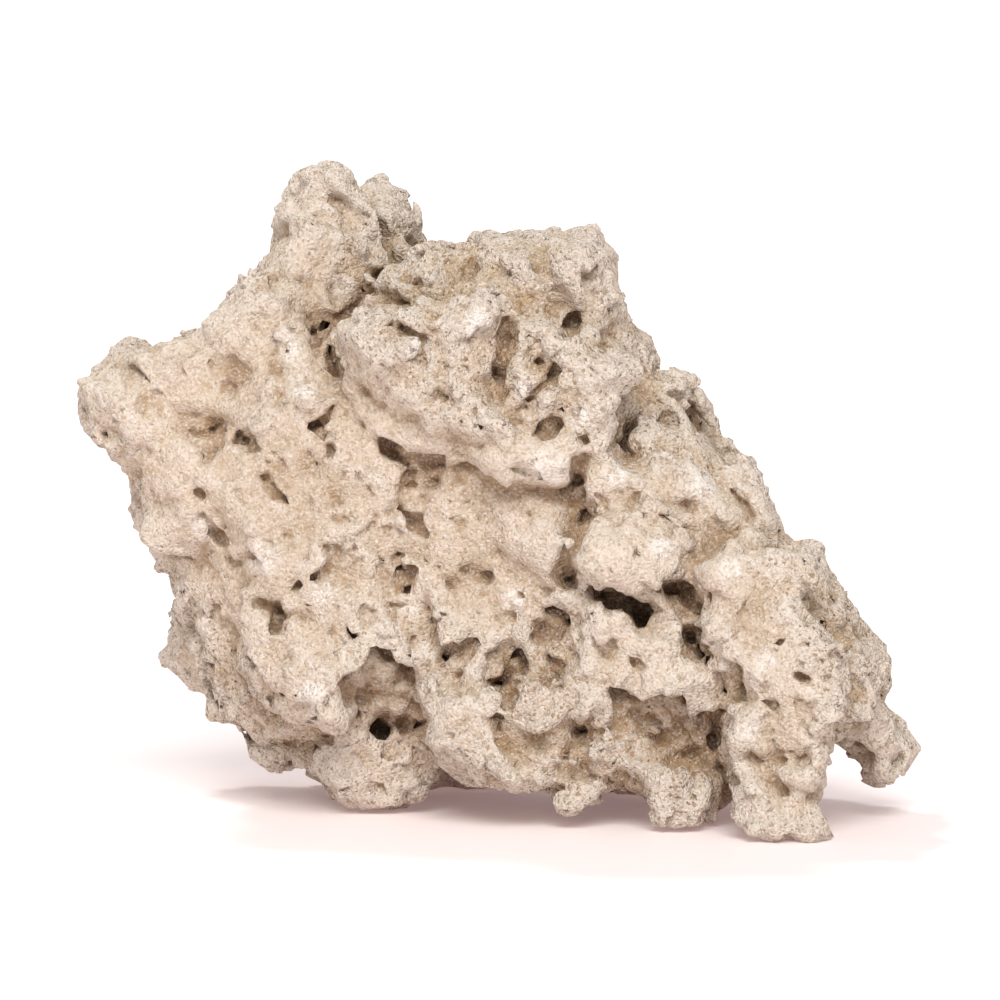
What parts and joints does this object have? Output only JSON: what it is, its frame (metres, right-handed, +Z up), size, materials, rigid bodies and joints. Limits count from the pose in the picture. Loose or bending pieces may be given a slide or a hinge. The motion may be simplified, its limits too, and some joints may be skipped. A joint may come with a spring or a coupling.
{
  "type": "dry reef rock",
  "caption": "Craggy piece of dry porous reef limestone with ledges, small caves and worn holes, standing on the lumps of its underside.",
  "frame": {"origin": "under the middle of the rock's box, on the surface it stands on", "axes": "+X along the rock to its low end, +Z up, -Y towards the side with the large caves"},
  "size_m": [0.3124, 0.2132, 0.2426],
  "materials": {
    "stone": "dry matt gritty limestone, pale cream with tan brown in the hollows"
  },
  "bodies": {
    "root": {"reef_rock": "stone"}
  },
  "joints": []
}
